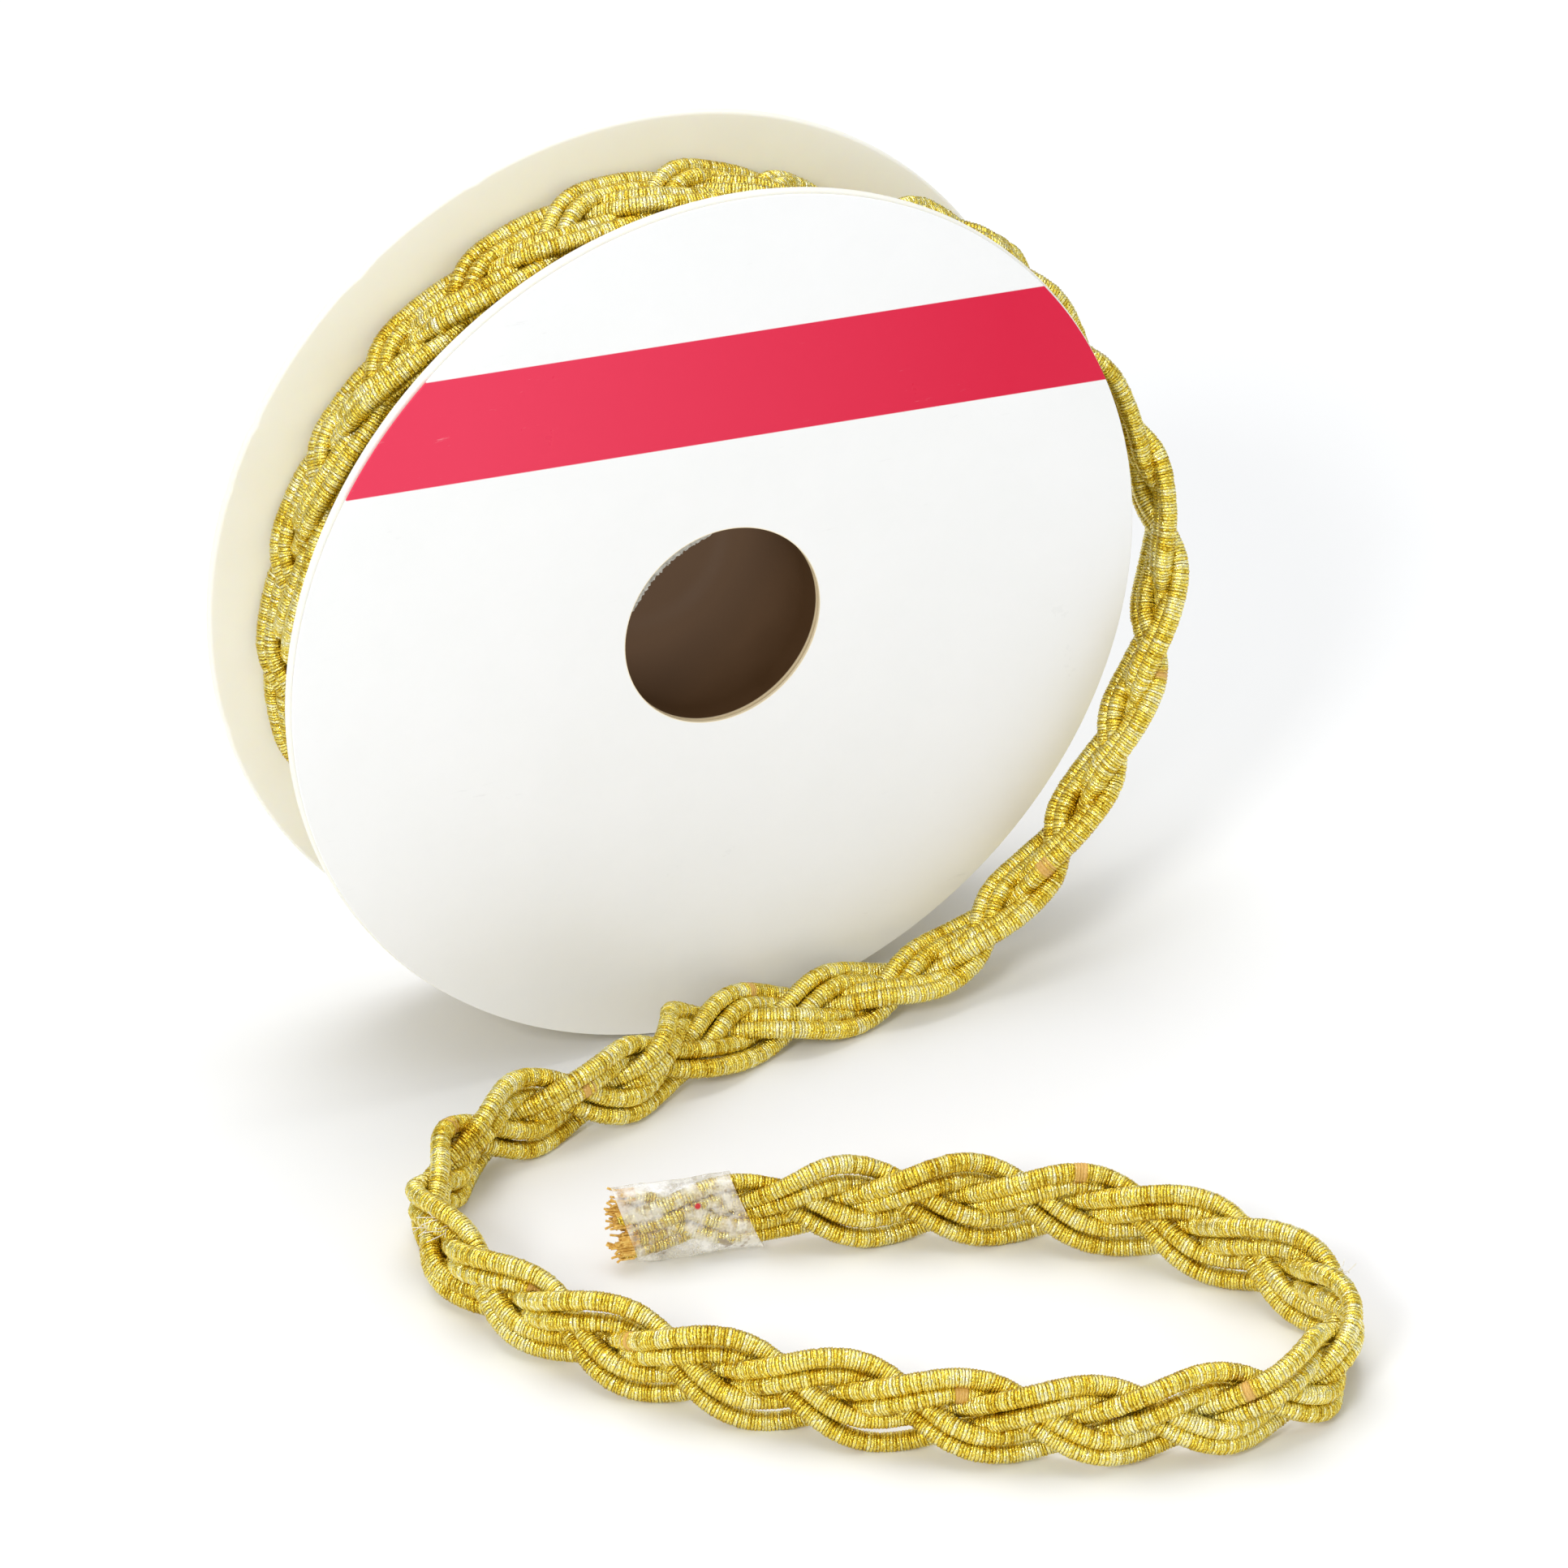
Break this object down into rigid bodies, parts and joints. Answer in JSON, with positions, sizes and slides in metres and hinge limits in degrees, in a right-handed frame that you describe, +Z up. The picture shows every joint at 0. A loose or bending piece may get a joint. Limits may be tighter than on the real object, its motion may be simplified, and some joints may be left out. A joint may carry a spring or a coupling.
{
  "type": "braid trim on reel",
  "caption": "Gold gimp cord braid trim wound on an upright flanged reel, its loose end curled on the surface in front and bound with clear tape.",
  "frame": {"origin": "on the surface, under the middle of the reel's width and axle", "axes": "+Z up, +Y along the reel's axle from the labelled face to the plain face, +X to the right as seen from the labelled face"},
  "size_m": [0.1103, 0.1234, 0.1018],
  "materials": {
    "flange_plastic": "ivory moulded plastic, slightly translucent",
    "label_paper": "glossy white label with a plain crimson band",
    "hub_card": "dark brown smooth card",
    "gold_cord": "cord wrapped in yellow gold metallic thread",
    "clear_tape": "clear adhesive tape, cloudy"
  },
  "bodies": {
    "root": {"flange_back": "flange_plastic", "flange_front": "flange_plastic", "label_front": "label_paper", "hub": "hub_card", "wound_braid": "gold_cord", "loose_end": "gold_cord", "tape_wrap": "clear_tape"}
  },
  "joints": []
}
